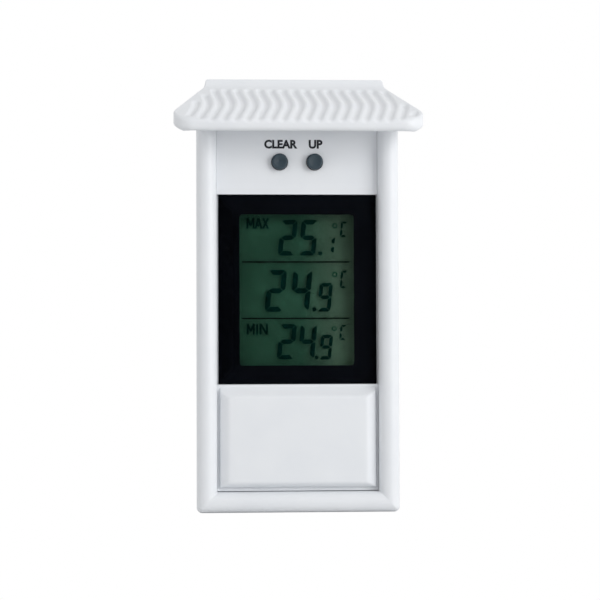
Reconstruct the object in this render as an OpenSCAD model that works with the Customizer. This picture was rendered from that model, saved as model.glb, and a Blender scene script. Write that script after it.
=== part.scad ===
// Wall thermometer that keeps the highest and the lowest temperature, with a tiled roof.
// The front faces -Y and +Z is up. The base lies on z = 0 and the depth is centred on y = 0.
// Lengths called "d" are distances forward of the wall plane, which is the back of the housing.

/* [Housing] */
// Width of the housing across its pillars
body_w = 65.6; // [64.6:0.2:68]
// Height of the housing up to its top, inside the roof
body_h = 127; // [126:0.5:128]
// Width of a pillar and of the bottom bar
pillar_w = 6.6; // [6.2:0.1:7]
// Radius of the housing's bottom corners, seen from the front
corner_r = 1.8; // [1:0.1:3]
// Wall thickness of the mouldings
wall = 1.8; // [1.6:0.1:2]
// Depth of the rear cover
cover_d = 12; // [12:0.1:12.4]
// Distance from the wall plane to the recessed panel's face
panel_d = 19; // [18.8:0.1:19.2]
// Distance from the wall plane to the crest of the pillars
crest_d = 24; // [23:0.1:25]

/* [Roof] */
// Width across the eaves
roof_w = 80; // [78:0.5:84]
// Distance from the wall plane to the front of the eaves
roof_d = 36; // [34:0.5:40]
// Width of the ridge
ridge_w = 59.6; // [58:0.2:62]
// Height of the ridge
roof_top = 143; // [141:0.5:146]
// Height of the underside of the eaves
eave_z = 121.7; // [121:0.1:122.5]
// Height of the upright face of the eaves
fascia_h = 4.6; // [4:0.1:5]
// Roof wall thickness
roof_wall = 2; // [1.6:0.1:2.4]
// Radius of the roof's front corners, seen from above
roof_r = 6.5; // [5:0.1:8]

/* [Window and display] */
// Width of the clear window
window_w = 51.4; // [50:0.1:51.6]
// Height of the lower edge of the window
window_low = 41.3; // [41:0.1:42]
// Height of the upper edge of the window
window_high = 102.8; // [102:0.1:103]
// Thickness of the window
window_t = 1.5; // [1.2:0.1:1.5]
// Width of the clear part inside the black border
view_w = 37.6; // [36:0.1:39]
// Height of the lower edge of the clear part
view_low = 47.3; // [47:0.1:48]
// Height of the upper edge of the clear part
view_high = 96.5; // [95:0.1:97]
// Width of the display glass
glass_w = 44; // [43:0.1:44]

/* [Pad] */
// Width of the raised pad
pad_w = 50.6; // [48:0.1:51]
// Height of the pad's lower edge
pad_low = 8; // [7.6:0.1:9]
// Height of the pad's upper edge
pad_high = 40.4; // [39:0.1:40.6]
// How far the pad stands out of the panel
pad_rise = 3; // [2:0.1:3.5]

/* [Buttons] */
// Distance between the two buttons
button_gap = 11.4; // [9:0.1:14]
// Height of the buttons' centres
button_z = 113.5; // [112:0.1:115]
// Radius of a button
button_r = 2.6; // [2:0.1:3]
// How far a button stands out of the panel
button_rise = 2.3; // [1.5:0.1:3]

/* [Battery] */
// Radius of the cylindrical cell
cell_r = 5.25; // [5.2:0.05:5.3]
// Length of the cell with its button
cell_l = 44.5; // [44:0.1:44.6]
// Height of the cell's centre line
cell_z = 18; // [18:0.1:18.4]
// Half width of the battery door
door_half = 27.7; // [27.6:0.1:28]
// Height of the battery door
door_h = 27.4; // [27:0.1:27.6]

/* [Hanging hole] */
// Radius of the round entry for the screw head
hang_r = 4; // [3.5:0.1:4.5]
// Height of the round entry's centre
hang_z = 103; // [102:0.5:104]
// Width of the slot above it
hang_slot = 4; // [3:0.1:4]

/* [Hidden] */
$fn = 48;

white = [0.90, 0.91, 0.92];
button_grey = [0.22, 0.27, 0.30];
eps = 0.1;                        // cutters run past faces by this much
fit = 0.15;                       // clearance at the seams
pillar_r = pillar_w / 2;
in_half = body_w / 2 - pillar_w;  // half width of the recess between the pillars
cover_half = body_w / 2 - 0.5;
cover_t = 2.4;                    // back wall of the rear cover
panel_half = in_half - 0.2;
panel_t = 3;
panel_back = panel_d - panel_t;
window_back = panel_d - window_t;
border_t = 0.15;
view_z = (view_low + view_high) / 2;

// Board and display stack, from the back to the front
board_back = 9.9;
board_front = 11.5;
board_half = 24;
board_low = 33.5;
board_high = 122;
reflector_d = 12.6;
film_t = 0.25;
glass_t = 1.1;
rear_glass_d = reflector_d + film_t;
front_glass_d = rear_glass_d + glass_t;
polariser_d = front_glass_d + glass_t;
front_glass_half_h = 29;
rear_glass_half_h = 26.3;
strip_t = 2;

// Button and switch stack
button_x = button_gap / 2;
plunger_top = 14.2;
plunger_r = 1.5;
switch_top = 13.3;
switch_w = 6;

// Screws
case_screw_x = 28.6;
case_screw_z = [33, 118];
case_head_d = 5;                  // seat of the heads
board_screw_x = 21.5;
board_screw_z = [37.5, 107];

// Battery bay and door
bay_half = 25.4;
bay_h = 12.4;
bay_floor = 12.8;
bay_wall = 1.3;
cell_d = 7.5;
cell_button_h = 0.8;
cell_button_r = 1.9;
contact_t = 0.4;
cell_end_x = bay_half - contact_t - 0.3;
door_gap = 0.3;
door_back = 0.2;
door_front = 2.1;
tongue_w = 1;
tongue_back = 0.9;
tongue_front = 1.5;

// Wire routes as [x, d, z]
red_route = [[24.5, 7.5, 25.8], [24.4, 7.5, 28], [23.2, 7.5, 30.2], [21, 7.6, 32], [18.6, 8, 34],
             [16.6, 8.6, 36.5], [15.2, 9.2, 39], [14.5, 9.4, 41.5]];
black_route = [for (p = red_route) [-p[0], p[1], p[2]]];
wire_r = 0.45;

// Roof: how far its ridge is from the wall and how high its steep band is, and the rounding of its
// front edge below and above
ridge_d = 3.4;
ridge_h = 2.6;
roof_nose = 1.3;
roof_brow = 2;

// Y of a point that is d in front of the wall plane
function fy(d) = roof_d / 2 - d;

// Extrudes a front view outline (x, z) from depth d0 to depth d1
module slab(d0, d1) {
    translate([0, fy(d0), 0]) rotate([90, 0, 0]) linear_extrude(d1 - d0) children();
}

// Extrudes a side view outline (d, z) from x0 to x1
module beam(x0, x1) {
    translate([x0, fy(0), 0]) rotate([90, 0, 90]) linear_extrude(x1 - x0) mirror([1, 0]) children();
}

// Extrudes a plan outline (x, d) from z0 to z1
module column(z0, z1) {
    translate([0, fy(0), z0]) linear_extrude(z1 - z0) mirror([0, 1]) children();
}

// Round bar along the depth
module peg(x, z, d0, d1, r) {
    translate([x, fy(d0), z]) rotate([90, 0, 0]) cylinder(h = d1 - d0, r = r);
}

module rect(x0, z0, x1, z1) {
    translate([x0, z0]) square([x1 - x0, z1 - z0]);
}

module centred_rect(half, z0, z1) {
    rect(-half, z0, half, z1);
}

module round_rect(half, z0, z1, r) {
    centred_rect(half - r, z0, z1);
    centred_rect(half, z0 + r, z1 - r);
    for (x = [-half + r, half - r], z = [z0 + r, z1 - r]) translate([x, z]) circle(r);
}

// Places children at the four corners (x, z) of a screw pattern
module at_screws(x, heights) {
    for (sx = [-x, x], z = heights) translate([sx, 0, z]) children();
}

// Tube swept along a path, with a ring of sides at each point. No stretch of it runs along the axis given.
function unit(v) = v / norm(v);
function sweep_dir(path, i) = unit(path[min(i + 1, len(path) - 1)] - path[max(i - 1, 0)]);
function sweep_ring(c, t, r, axis, sides) =
    let (side = unit(cross(t, axis)), up = cross(side, t))
    [for (k = [0:sides - 1]) c + r * (cos(360 * k / sides) * side + sin(360 * k / sides) * up)];

module sweep(path, r, axis, sides = 8) {
    last = len(path) - 1;
    points = [for (i = [0:last]) each sweep_ring(path[i], sweep_dir(path, i), r, axis, sides)];
    skin = [for (i = [0:last - 1], k = [0:sides - 1])
        let (n = (k + 1) % sides)
        [i * sides + k, i * sides + n, (i + 1) * sides + n, (i + 1) * sides + k]];
    first_cap = [for (k = [sides - 1:-1:0]) k];
    last_cap = [for (k = [0:sides - 1]) last * sides + k];
    polyhedron(points, concat(skin, [first_cap, last_cap]));
}

function to_row(route) = [for (p = route) [p[0], fy(p[1]), p[2]]];

// ---- Housing ----

// Half-round moulding: across is its middle, seen along its length
module moulding_section(across, r, back) {
    translate([across, crest_d - pillar_r]) circle(r);
    translate([across - r, back]) square([2 * r, crest_d - pillar_r - back]);
}

module pillar(side, z0, z1, r, back) {
    column(z0, z1) moulding_section(side * (body_w / 2 - pillar_r), r, back);
}

module bottom_bar(x0, x1, r, back) {
    beam(x0, x1) mirror([1, -1]) moulding_section(pillar_r, r, back);
}

// Pillars and bar, mitred where they meet
module frame_outside() {
    half = body_w / 2;
    for (side = [-1, 1]) intersection() {
        pillar(side, 0, body_h, pillar_r, cover_d);
        slab(cover_d, crest_d) polygon([
            [side * half, 0], [side * in_half, pillar_w],
            [side * in_half, body_h], [side * half, body_h]
        ]);
    }
    intersection() {
        bottom_bar(-half, half, pillar_r, cover_d);
        slab(cover_d, crest_d) polygon([[-half, 0], [half, 0], [in_half, pillar_w], [-in_half, pillar_w]]);
    }
}

module frame() {
    hollow_r = pillar_r - wall;
    ledge = 1.3;
    color(white) difference() {
        union() {
            intersection() {
                frame_outside();
                slab(cover_d, crest_d) round_rect(body_w / 2, 0, body_h + corner_r, corner_r);
            }
            // Ledge that the panel rests on, and the top wall
            slab(panel_back - ledge - 0.1, panel_back - 0.1) difference() {
                centred_rect(in_half + eps, pillar_w - eps, body_h - wall);
                centred_rect(in_half - ledge, pillar_w + ledge, body_h);
            }
            slab(cover_d, panel_d) centred_rect(in_half + eps, body_h - wall, body_h);
            at_screws(case_screw_x, case_screw_z) peg(0, 0, cover_d, panel_back + 2, 2.5);
        }
        difference() {
            for (side = [-1, 1]) pillar(side, pillar_w, body_h - wall, hollow_r, cover_d - eps);
            at_screws(case_screw_x, case_screw_z) peg(0, 0, cover_d, panel_back + 2, 2.5);
        }
        bottom_bar(-in_half, in_half, hollow_r, cover_d - eps);
        at_screws(case_screw_x, case_screw_z) peg(0, 0, cover_d - eps, panel_back + 1.5, 1.25);
    }
}

module pad() {
    edge = 1.2;          // upright part of the pad's edge
    side_bevel = 2.9;
    top_bevel = 3.2;
    low_bevel = 1.5;
    half = pad_w / 2;
    face = panel_d + pad_rise;
    intersection() {
        beam(-half, half) polygon([
            [panel_d - eps, pad_low], [panel_d + edge, pad_low], [face, pad_low + low_bevel],
            [face, pad_high - top_bevel], [panel_d, pad_high], [panel_d - eps, pad_high]
        ]);
        column(pad_low, pad_high) polygon([
            [-half, panel_d - eps], [-half, panel_d + edge], [-half + side_bevel, face],
            [half - side_bevel, face], [half, panel_d + edge], [half, panel_d - eps]
        ]);
    }
}

module front_panel() {
    pocket_gap = 0.1;
    sight_half = view_w / 2 + 1.8;
    sight_more = 1.8;
    boss_r = 2.2;
    color(white) difference() {
        union() {
            slab(panel_back, panel_d) centred_rect(panel_half, pillar_w + 0.2, body_h - wall - 0.2);
            pad();
            at_screws(board_screw_x, board_screw_z) peg(0, 0, board_front, panel_back + eps, boss_r);
        }
        slab(window_back - 2 * border_t, panel_d + 1)
            centred_rect(panel_half + eps, window_low - pocket_gap, window_high + pocket_gap);
        slab(panel_back - eps, panel_d) centred_rect(sight_half, view_low - sight_more, view_high + sight_more);
        for (x = [-button_x, button_x]) peg(x, button_z, panel_back - eps, panel_d + eps, button_r + fit);
        at_screws(board_screw_x, board_screw_z) peg(0, 0, board_front - eps, panel_back + 1.4, 1);
    }
}

function arc(c, r, a0, a1, n = 6) = [for (i = [0:n]) let (a = a0 + (a1 - a0) * i / n) c + r * [cos(a), sin(a)]];
function curve(a, b, c, n = 8) = [for (i = [0:n]) let (t = i / n) (1 - t) * (1 - t) * a + 2 * t * (1 - t) * b + t * t * c];

// Roof in section, (d, z), drawn in by inset, from under its front edge over the slope to the ridge's top.
// The front edge is rounded above and below, and the slope turns up to a short steep ridge.
function slope_outline(inset, low, high, top) =
    let (
        out = roof_d - inset,
        foot = [ridge_d + 1, top - ridge_h],
        centre = [out - roof_brow, high - roof_brow],
        lean = 90 - atan((foot[1] - high) / (centre[0] - foot[0])),
        brow_end = centre + roof_brow * [cos(lean), sin(lean)]
    )
    concat(
        arc([out - roof_nose, low + roof_nose], roof_nose, -90, 0),
        arc(centre, roof_brow, 0, lean),
        curve(brow_end + (foot - brow_end) * 0.88, foot, [ridge_d, top - 0.6], 5),
        [[ridge_d - 0.6, top]]
    );

// Right half of the roof in plan, (x, d), drawn in by inset: a side that opens out from the ridge
// to a round front corner
function plan_side(inset, back) =
    let (
        spare = 0.02,    // keeps the plan clear of the section's front face
        corner = [roof_w / 2 - roof_r, roof_d - roof_r],
        reach = corner - [ridge_w / 2, ridge_d],
        lean = 90 - atan2(reach[1], reach[0]) + asin(roof_r / norm(reach)),
        r = roof_r - inset,
        tangent = corner + r * [cos(lean), -sin(lean)]
    )
    concat([tangent - (tangent[1] - back) * [tan(lean), 1]], arc(corner + [0, spare], r, -lean, 90, 8));

// low is the height under the front edge, and rise how fast the underside climbs to the back
module roof_solid(inset, low, rise) {
    back = inset;
    top = roof_top - inset;
    high = eave_z + fascia_h - inset * 0.9;
    side = plan_side(inset, back - 1);
    low_back = low + (roof_d - inset - roof_nose - back) * rise;
    intersection() {
        column(low - 1, top + 1) polygon(concat(side, [for (i = [len(side) - 1:-1:0]) [-side[i][0], side[i][1]]]));
        beam(-roof_w, roof_w) polygon(concat([[back, low_back]], slope_outline(inset, low, high, top), [[back, top]]));
    }
}

// Box that carries the roof on the housing's top, up to halfway through the roof's wall
module roof_neck(rise) {
    neck_w = 54.4;
    neck_d = 19.8;
    back = 0.1;
    seat = body_h + 0.1;
    mid_top = roof_top - ridge_h - 1.4;
    mid_d = ridge_d + 1.6;
    past = neck_d + 1;
    intersection() {
        column(seat, roof_top) difference() {
            rect(-neck_w / 2, back, neck_w / 2, neck_d);
            rect(-neck_w / 2 + wall, wall, neck_w / 2 - wall, neck_d - wall);
        }
        beam(-neck_w, neck_w) polygon([
            [-1, seat - 1], [past, seat - 1], [past, mid_top - (past - mid_d) * rise], [mid_d, mid_top], [-1, mid_top]
        ]);
    }
}

module roof() {
    rise = (roof_top - ridge_h - eave_z - fascia_h) / (roof_d - roof_brow - ridge_d - 1);
    color(white) {
        difference() {
            roof_solid(0, eave_z, rise);
            roof_solid(roof_wall, eave_z - 5, 0);
        }
        roof_neck(rise);
    }
}

module keyhole() {
    peg(0, hang_z, -eps, cover_t + eps, hang_r);
    slab(-eps, cover_t + eps) rect(-hang_slot / 2, hang_z, hang_slot / 2, hang_z + 8);
    peg(0, hang_z + 8, -eps, cover_t + eps, hang_slot / 2);
}

module rear_cover() {
    vent_w = 1.6;
    vent_pitch = 3.6;
    vent_count = 7;
    shield_d = 7;
    shield_half = 7;
    bay_low = cell_z - bay_h / 2;
    bay_high = cell_z + bay_h / 2;
    sill_t = 1.2;
    opening_half = door_half + door_gap;
    color(white) difference() {
        union() {
            difference() {
                slab(0, cover_d) round_rect(cover_half, 0, body_h, corner_r);
                slab(cover_t, cover_d + eps) centred_rect(cover_half - wall, wall, body_h - wall);
            }
            // Sill behind the battery door and the walls of the battery bay
            slab(cover_t - eps, cover_t + sill_t)
                centred_rect(opening_half + tongue_w + 0.8, wall - eps, door_h + 2.4);
            slab(cover_t, cover_d) centred_rect(bay_half + bay_wall, bay_low - bay_wall, bay_high + bay_wall);
            slab(cover_d - eps, bay_floor + bay_wall)
                centred_rect(in_half - 0.2, bay_low - bay_wall, bay_high + bay_wall);
            // Shield that keeps the hanging screw off the board
            slab(cover_t - eps, shield_d + 1.2) centred_rect(shield_half, hang_z - 6, hang_z + 13);
            at_screws(case_screw_x, case_screw_z) peg(0, 0, 0, cover_d, 3.4);
        }
        slab(-eps, bay_floor) centred_rect(bay_half, bay_low, bay_high);
        slab(-eps, cover_t) centred_rect(opening_half, -eps, door_h + 2 * door_gap);
        slab(0.7, 1.7) centred_rect(opening_half + tongue_w, -eps, door_h + 2 * door_gap);
        // Slots where the contacts' tabs leave the bay
        for (x = [-1, 1]) slab(5.8, 9.2)
            rect(x * (bay_half - 0.35) - 0.35, bay_high - eps, x * (bay_half - 0.35) + 0.35, bay_high + 2);
        slab(cover_t, shield_d) centred_rect(shield_half - 1.2, hang_z - 4.8, hang_z + 11.8);
        keyhole();
        for (i = [0:vent_count - 1]) let (z = 62 + i * vent_pitch)
            slab(-eps, cover_t + eps) centred_rect(9, z, z + vent_w);
        at_screws(case_screw_x, case_screw_z) {
            peg(0, 0, -eps, case_head_d, 2.6);
            peg(0, 0, case_head_d - eps, cover_d + eps, 1.4);
        }
    }
}

module battery_door() {
    ridge_count = 5;
    ridge_pitch = 1.8;
    low = door_gap;
    high = door_gap + door_h;
    color(white) difference() {
        union() {
            slab(door_back, door_front) centred_rect(door_half, low, high);
            slab(tongue_back, tongue_front) centred_rect(door_half + tongue_w - 0.2, low, high);
            // Click bump on the inner face
            slab(door_front - eps, door_front + 0.2) centred_rect(4, high - 2, high - 1);
        }
        // Thumb grip: a row of grooves across the door
        for (i = [0:ridge_count - 1]) let (z = low + 14 + i * ridge_pitch)
            slab(door_back - eps, door_back + 0.5) centred_rect(8, z, z + 0.9);
    }
}

// ---- Window ----

module window_lens() {
    color([0.7, 0.75, 0.78, 0.35]) slab(window_back, panel_d)
        centred_rect(window_w / 2, window_low, window_high);
}

module window_border() {
    color([0.01, 0.02, 0.04]) slab(window_back - border_t, window_back) difference() {
        centred_rect(window_w / 2, window_low, window_high);
        centred_rect(view_w / 2, view_low, view_high);
    }
}

module window_tape() {
    edge = 2;
    color([0.2, 0.2, 0.2]) slab(window_back - 2 * border_t, window_back - border_t) difference() {
        centred_rect(window_w / 2 - 0.2, window_low + 0.2, window_high - 0.2);
        centred_rect(view_w / 2 + edge, view_low - edge, view_high + edge);
    }
}

// ---- Display ----

module display_layer(d0, t, half, half_h) {
    slab(d0, d0 + t) centred_rect(half, view_z - half_h, view_z + half_h);
}

module lcd_reflector() {
    color([0.35, 0.42, 0.36]) display_layer(reflector_d, film_t, glass_w / 2 - 0.4, rear_glass_half_h - 0.4);
}

module lcd_rear_glass() {
    color([0.6, 0.7, 0.65, 0.5]) display_layer(rear_glass_d, glass_t, glass_w / 2, rear_glass_half_h);
}

module lcd_front_glass() {
    color([0.6, 0.7, 0.65, 0.5]) display_layer(front_glass_d, glass_t, glass_w / 2, front_glass_half_h);
}

module lcd_polariser() {
    color([0.15, 0.25, 0.18, 0.6]) display_layer(polariser_d, film_t, glass_w / 2 - 0.4, rear_glass_half_h - 0.4);
}

module lcd_holder() {
    rim = 1.7;
    half = glass_w / 2 + 0.1;
    half_h = front_glass_half_h + 0.1;
    color([0.85, 0.85, 0.83]) slab(board_front, polariser_d + film_t + 0.2) difference() {
        centred_rect(half + rim, view_z - half_h - rim, view_z + half_h + rim);
        centred_rect(half, view_z - half_h, view_z + half_h);
    }
}

module contact_strips() {
    reach = front_glass_half_h - 0.3;
    color([0.75, 0.35, 0.4]) for (side = [-1, 1])
        slab(board_front, front_glass_d) let (a = view_z + side * reach, b = a - side * strip_t)
            centred_rect(20, min(a, b), max(a, b));
}

// ---- Board ----

module circuit_board() {
    color([0.08, 0.35, 0.18]) difference() {
        slab(board_back, board_front) centred_rect(board_half, board_low, board_high);
        at_screws(board_screw_x, board_screw_z) peg(0, 0, board_back - eps, board_front + eps, 1.1);
    }
}

module chip_cover() {
    rise = 1.6;
    foot_r = 6;
    ball_r = (foot_r * foot_r + rise * rise) / (2 * rise);
    color([0.03, 0.03, 0.03]) translate([0, fy(board_back), 54]) rotate([-90, 0, 0])
        rotate_extrude($fn = 96) intersection() {
            translate([0, rise - ball_r]) circle(ball_r, $fn = 192);
            square([foot_r, rise]);
        }
}

module clock_crystal() {
    can_r = 1;
    color([0.75, 0.76, 0.78]) translate([-12, fy(board_back - can_r), 48]) cylinder(h = 6, r = can_r);
}

module board_parts() {
    chip_t = 0.6;
    color([0.6, 0.5, 0.38]) for (p = [[-15, 62], [-11, 66], [12, 50], [12, 56], [15, 62], [10, 68], [-8, 46], [9, 44]])
        slab(board_back - chip_t, board_back) rect(p[0], p[1], p[0] + 2, p[1] + 1.25);
}

module temperature_sensor() {
    bead_d = 5.6;
    bead_z = 74;
    color([0.55, 0.12, 0.08]) {
        translate([0, fy(bead_d), bead_z]) sphere(r = 1.3);
        for (x = [-0.6, 0.6]) peg(x, bead_z, bead_d, board_back, 0.2);
    }
}

// ---- Buttons and switches ----

module button(x) {
    flange_front = panel_back - 0.2;
    flange_back = flange_front - 0.9;
    dish = 0.25;
    dish_r = 1.9;
    ball_r = (dish_r * dish_r + dish * dish) / (2 * dish);
    face = panel_d + button_rise;
    color(button_grey) difference() {
        union() {
            peg(x, button_z, flange_front - eps, face, button_r);
            peg(x, button_z, flange_back, flange_front, button_r + 0.9);
            peg(x, button_z, plunger_top, flange_back + eps, plunger_r + 0.3);
        }
        translate([x, fy(face - dish + ball_r), button_z]) sphere(r = ball_r, $fn = 96);
    }
}

module plunger(x) {
    color([0.1, 0.1, 0.1]) peg(x, button_z, 12.6, plunger_top, plunger_r);
}

module switch_body(x) {
    color([0.15, 0.15, 0.16]) difference() {
        slab(board_front, switch_top)
            translate([x, button_z]) square(switch_w, center = true);
        peg(x, button_z, board_front + 0.3, switch_top + eps, plunger_r + 0.05);
        peg(x, button_z, board_front + 0.3, board_front + 0.8, 2.4);
    }
}

module clear_button() { button(-button_x); }
module up_button() { button(button_x); }
module clear_plunger() { plunger(-button_x); }
module up_plunger() { plunger(button_x); }
module clear_switch() { switch_body(-button_x); }
module up_switch() { switch_body(button_x); }

module switch_domes() {
    color([0.8, 0.8, 0.78]) for (x = [-button_x, button_x])
        peg(x, button_z, board_front + 0.3, board_front + 0.45, 2.2);
}

// ---- Battery ----

module battery_cell() {
    body_l = cell_l - cell_button_h;
    color([0.25, 0.45, 0.3]) translate([cell_end_x - cell_l, fy(cell_d), cell_z]) rotate([0, 90, 0]) {
        cylinder(h = body_l, r = cell_r);
        cylinder(h = cell_l, r = cell_button_r);
    }
}

// Flat contact with a tab that leaves the bay upward; side is -1 or 1
module contact_plate(side) {
    outer = side * bay_half;
    inner = outer - side * contact_t;
    beam(min(outer, inner), max(outer, inner)) {
        rect(3.2, cell_z - 5.4, 12.2, cell_z + 5.6);
        rect(6, cell_z + 5, 9, cell_z + 9.8);
    }
}

module positive_contact() {
    color([0.8, 0.8, 0.78]) {
        contact_plate(1);
        translate([cell_end_x, fy(cell_d), cell_z]) rotate([0, 90, 0]) cylinder(h = 0.4, r = 1.6);
    }
}

module negative_contact() {
    color([0.8, 0.8, 0.78]) contact_plate(-1);
}

module battery_spring() {
    turns = 4;
    steps = 12;
    wire = 0.35;
    x0 = -bay_half + contact_t + wire;
    x1 = cell_end_x - cell_l - wire - 0.05;
    coil = [for (i = [0:turns * steps]) let (t = i / (turns * steps), a = 360 * i / steps, r = 3.8 - 1.6 * t)
        [x0 + (x1 - x0) * t, fy(cell_d) + r * cos(a), cell_z + r * sin(a)]];
    color([0.8, 0.8, 0.78]) sweep(coil, wire, [1, 0, 0]);
}

module red_wire() {
    color([0.7, 0.08, 0.06]) sweep(to_row(red_route), wire_r, [0, 1, 0]);
}

module black_wire() {
    color([0.05, 0.05, 0.05]) sweep(to_row(black_route), wire_r, [0, 1, 0]);
}

// ---- Screws ----

// Screw seen from behind: the head's seat is at depth seat, its shank runs forward
module screw(seat, head_r, head_h, shank_r, reach) {
    slot = head_r * 0.3;
    difference() {
        peg(0, 0, seat - head_h, seat, head_r);
        for (turn = [0, 90]) translate([0, fy(seat - head_h - eps), 0]) rotate([90, 0, 0])
            rotate(turn) translate([-head_r * 0.7, -slot / 2, 0]) cube([head_r * 1.4, slot, head_h * 0.6]);
    }
    peg(0, 0, seat - eps, reach, shank_r);
}

module case_screws() {
    color([0.7, 0.7, 0.72]) at_screws(case_screw_x, case_screw_z) screw(case_head_d, 2.3, 1.7, 1.2, 17);
}

module board_screws() {
    color([0.7, 0.7, 0.72]) at_screws(board_screw_x, board_screw_z) screw(board_back, 1.9, 1.3, 0.95, 16.5);
}

frame();
front_panel();
roof();
rear_cover();
battery_door();
window_lens();
window_border();
window_tape();
lcd_polariser();
lcd_front_glass();
lcd_rear_glass();
lcd_reflector();
lcd_holder();
contact_strips();
circuit_board();
chip_cover();
clock_crystal();
board_parts();
temperature_sensor();
clear_button();
up_button();
clear_plunger();
up_plunger();
clear_switch();
up_switch();
switch_domes();
battery_cell();
positive_contact();
negative_contact();
battery_spring();
red_wire();
black_wire();
case_screws();
board_screws();
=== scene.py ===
"""Wall thermometer with a tiled roof: pieces, materials, light and camera round the CAD frame.

Lengths are in millimetres in (x, d, z) until spot() turns them into the frame's metres: x runs to the
right, d is the distance forward of the wall and z is up.
"""
import math

import bmesh
import bpy
from mathutils import Matrix, Vector
from mathutils.geometry import tessellate_polygon


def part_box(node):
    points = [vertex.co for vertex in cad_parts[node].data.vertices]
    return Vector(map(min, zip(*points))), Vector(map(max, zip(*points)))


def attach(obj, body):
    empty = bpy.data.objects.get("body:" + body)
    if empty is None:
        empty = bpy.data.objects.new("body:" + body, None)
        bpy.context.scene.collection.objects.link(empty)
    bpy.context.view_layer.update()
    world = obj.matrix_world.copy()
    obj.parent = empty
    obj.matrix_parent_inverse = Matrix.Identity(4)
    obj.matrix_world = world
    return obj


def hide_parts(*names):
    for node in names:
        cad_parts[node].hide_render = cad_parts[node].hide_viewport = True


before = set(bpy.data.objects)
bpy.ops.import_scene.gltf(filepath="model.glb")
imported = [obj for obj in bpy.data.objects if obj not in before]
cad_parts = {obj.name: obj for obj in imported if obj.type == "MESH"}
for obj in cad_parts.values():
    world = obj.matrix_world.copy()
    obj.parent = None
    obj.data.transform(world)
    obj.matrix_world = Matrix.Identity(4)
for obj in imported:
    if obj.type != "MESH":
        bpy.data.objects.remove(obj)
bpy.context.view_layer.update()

MM = 0.001
WALL_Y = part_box("rear_cover")[1].y
HOUSING = "housing"


# ---- Places ----

def spot(x, d, z):
    """The point in metres at x, d forward of the wall, and z, all in millimetres."""
    return Vector((x * MM, WALL_Y - d * MM, z * MM))


class Box:
    """A CAD node's box at rest, in millimetres."""

    def __init__(self, node):
        low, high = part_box(node)
        self.x0, self.x1 = low.x / MM, high.x / MM
        self.z0, self.z1 = low.z / MM, high.z / MM
        self.d0, self.d1 = (WALL_Y - high.y) / MM, (WALL_Y - low.y) / MM
        self.x = (self.x0 + self.x1) / 2
        self.z = (self.z0 + self.z1) / 2


def clamp(value, low=0.0, high=1.0):
    return max(low, min(high, value))


def smooth(t):
    t = clamp(t)
    return t * t * (3 - 2 * t)


def arc(cx, cy, r, start, end, steps):
    """Points on an arc, with its angles in degrees."""
    turns = [math.radians(start + (end - start) * i / steps) for i in range(steps + 1)]
    return [(cx + r * math.cos(a), cy + r * math.sin(a)) for a in turns]


# ---- Meshes ----

class Shell:
    """Vertices and faces gathered from rings, grids and caps."""

    def __init__(self):
        self.points = []
        self.faces = []

    def add(self, points):
        first = len(self.points)
        self.points.extend(points)
        return list(range(first, len(self.points)))

    def skin(self, a, b, closed=True):
        """Quads between two rings with the same number of points."""
        last = len(a) if closed else len(a) - 1
        for i in range(last):
            j = (i + 1) % len(a)
            self.faces.append((a[i], a[j], b[j], b[i]))

    def cap(self, rings, flip=False):
        """A flat face bounded by the first ring, with the other rings as holes."""
        ids = [i for ring in rings for i in ring]
        for tri in tessellate_polygon([[self.points[i] for i in ring] for ring in rings]):
            face = tuple(ids[i] for i in tri)
            self.faces.append(face[::-1] if flip else face)

    def join(self, other):
        first = len(self.points)
        self.points.extend(other.points)
        self.faces.extend(tuple(i + first for i in face) for face in other.faces)


def finish_piece(obj, material, body, nodes, sharp=35):
    """Shades a piece, gives it its material, hangs it on its body and hides the given CAD nodes."""
    mesh = obj.data
    mesh.materials.clear()
    mesh.materials.append(material)
    mesh.shade_smooth()
    mesh.set_sharp_from_angle(angle=math.radians(sharp))
    level = obj.modifiers.new("Even shading", "WEIGHTED_NORMAL")
    level.keep_sharp = True
    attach(obj, body)
    if nodes:
        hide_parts(*nodes)
    return obj


def mesh_object(name, shell):
    """A mesh object whose faces all point outward."""
    mesh = bpy.data.meshes.new(name)
    mesh.from_pydata([tuple(p) for p in shell.points], [], shell.faces)
    work = bmesh.new()
    work.from_mesh(mesh)
    bmesh.ops.remove_doubles(work, verts=work.verts, dist=1e-7)
    bmesh.ops.dissolve_degenerate(work, edges=work.edges, dist=1e-8)
    bmesh.ops.recalc_face_normals(work, faces=work.faces)
    work.to_mesh(mesh)
    work.free()
    obj = bpy.data.objects.new(name, mesh)
    bpy.context.scene.collection.objects.link(obj)
    return obj


def piece(name, shell, material, body=HOUSING, nodes=()):
    return finish_piece(mesh_object(name, shell), material, body, nodes)


def round_rect(x0, x1, z0, z1, r=0.0, steps=6):
    """Returns shape(inset): the outline of a rectangle with rounded corners, drawn in by inset."""
    def shape(inset):
        a0, a1, b0, b1 = x0 + inset, x1 - inset, z0 + inset, z1 - inset
        q = max(r - inset, 0.02)
        right, left, low, high = a1 - q, a0 + q, b0 + q, b1 - q
        corners = ((right, low, -90), (right, high, 0), (left, high, 90), (left, low, 180))
        return [p for cx, cz, turn in corners for p in arc(cx, cz, q, turn, turn + 90, steps)]
    return shape


def circle(cx, cz, r, steps=48):
    """Returns shape(inset) for a round outline."""
    def shape(inset):
        return arc(cx, cz, r - inset, 0, 360 - 360 / steps, steps - 1)
    return shape


def edge_profile(d0, d1, front, back):
    """(inset, d) from the back to the front of a plate with rounded front and back edges."""
    made = [(back - p, d0 + back - q) for p, q in arc(0, 0, back, 90, 0, 3)] if back else [(0, d0)]
    if front:
        return made + [(front - p, d1 - front + q) for p, q in arc(0, 0, front, 0, 90, 4)]
    return made + [(0, d1)]


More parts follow.
